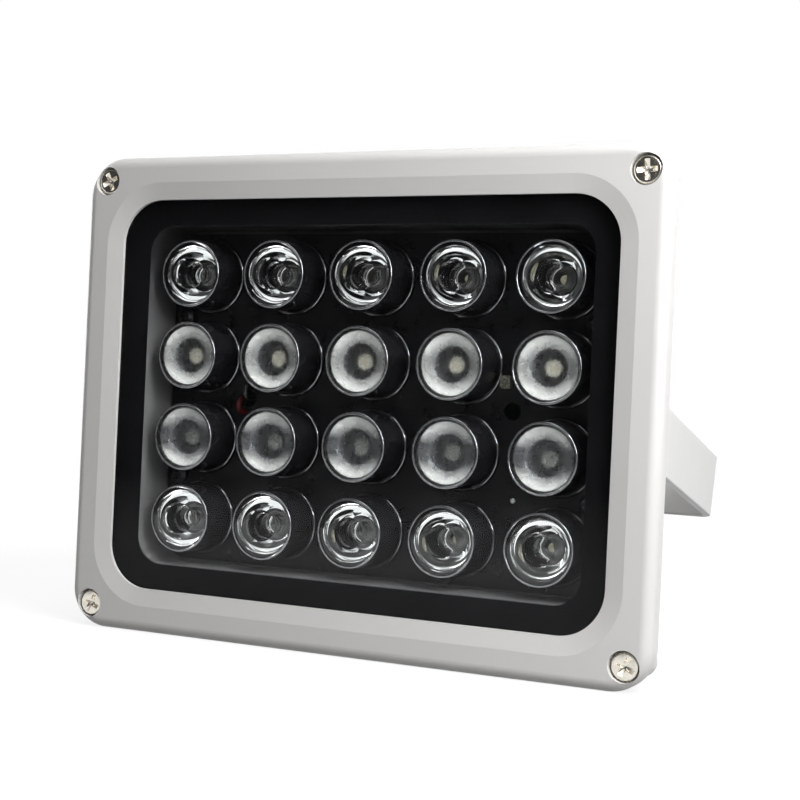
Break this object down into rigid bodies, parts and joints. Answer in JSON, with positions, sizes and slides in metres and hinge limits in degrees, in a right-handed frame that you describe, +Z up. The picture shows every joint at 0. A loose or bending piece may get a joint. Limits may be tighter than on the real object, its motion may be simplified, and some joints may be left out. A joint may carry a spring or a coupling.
{
  "type": "infrared illuminator",
  "caption": "Rectangular infrared illuminator: a die-cast head with a grid of lensed emitters behind bezel-framed glass, finned back and cable gland, tilting on a U-shaped strip bracket.",
  "frame": {"origin": "middle of the bracket's wall face, on the axis of its centre hole", "axes": "+Z up with the head upright, +X to the right seen from the front, the head faces -Y and the tilt axis is along X"},
  "size_m": [0.18, 0.1078, 0.14],
  "materials": {
    "housing_paint": "satin",
    "bezel_paint": "satin",
    "bracket_paint": "satin",
    "glass": "gloss",
    "gasket_rubber": "matte",
    "board_black": "gloss",
    "emitter_ceramic": "gloss",
    "nickel_screw": "polished",
    "black_screw": "satin",
    "sensor_ceramic": "satin",
    "red_insulation": "satin",
    "black_insulation": "satin",
    "board_green": "satin",
    "transformer_tape": "satin",
    "capacitor_sleeve": "satin",
    "zinc_bolt": "satin",
    "zinc_washer": "satin",
    "gland_nylon": "satin",
    "seal_rubber": "matte",
    "black_plastic": "gloss",
    "clear_lens": "gloss",
    "frosted_lens": "matte"
  },
  "bodies": {
    "bracket": {"u_bracket": "bracket_paint"},
    "head": {"bezel_screws": "nickel_screw", "black_lead": "black_insulation", "board_screws": "black_screw", "clear_lens_r1c1": "clear_lens", "clear_lens_r1c2": "clear_lens", "clear_lens_r1c3": "clear_lens", "clear_lens_r1c4": "clear_lens", "clear_lens_r1c5": "clear_lens", "clear_lens_r4c1": "clear_lens", "clear_lens_r4c2": "clear_lens", "clear_lens_r4c3": "clear_lens", "clear_lens_r4c4": "clear_lens", "clear_lens_r4c5": "clear_lens", "driver_board": "board_green", "driver_capacitor": "capacitor_sleeve", "driver_transformer": "transformer_tape", "front_bezel": "bezel_paint", "front_glass": "glass", "frosted_lens_r2c1": "frosted_lens", "frosted_lens_r2c2": "frosted_lens", "frosted_lens_r2c3": "frosted_lens", "frosted_lens_r2c4": "frosted_lens", "frosted_lens_r2c5": "frosted_lens", "frosted_lens_r3c1": "frosted_lens", "frosted_lens_r3c2": "frosted_lens", "frosted_lens_r3c3": "frosted_lens", "frosted_lens_r3c4": "frosted_lens", "frosted_lens_r3c5": "frosted_lens", "gland_body": "gland_nylon", "gland_nut": "gland_nylon", "gland_seal": "seal_rubber", "glass_gasket": "gasket_rubber", "led_board": "board_black", "led_emitters": "emitter_ceramic", "lens_holder_r1c1": "black_plastic", "lens_holder_r1c2": "black_plastic", "lens_holder_r1c3": "black_plastic", "lens_holder_r1c4": "black_plastic", "lens_holder_r1c5": "black_plastic", "lens_holder_r2c1": "black_plastic", "lens_holder_r2c2": "black_plastic", "lens_holder_r2c3": "black_plastic", "lens_holder_r2c4": "black_plastic", "lens_holder_r2c5": "black_plastic", "lens_holder_r3c1": "black_plastic", "lens_holder_r3c2": "black_plastic", "lens_holder_r3c3": "black_plastic", "lens_holder_r3c4": "black_plastic", "lens_holder_r3c5": "black_plastic", "lens_holder_r4c1": "black_plastic", "lens_holder_r4c2": "black_plastic", "lens_holder_r4c3": "black_plastic", "lens_holder_r4c4": "black_plastic", "lens_holder_r4c5": "black_plastic", "light_sensor": "sensor_ceramic", "lock_washers": "zinc_washer", "pivot_bolts": "zinc_bolt", "rear_housing": "housing_paint", "red_lead": "red_insulation"}
  },
  "joints": [
    {"name": "head_tilt", "type": "hinge", "parent": "bracket", "child": "head", "pos_m": [0, -0.08326, 0.02153], "axis": [1, 0, 0], "range_deg": [-104, 75]}
  ]
}
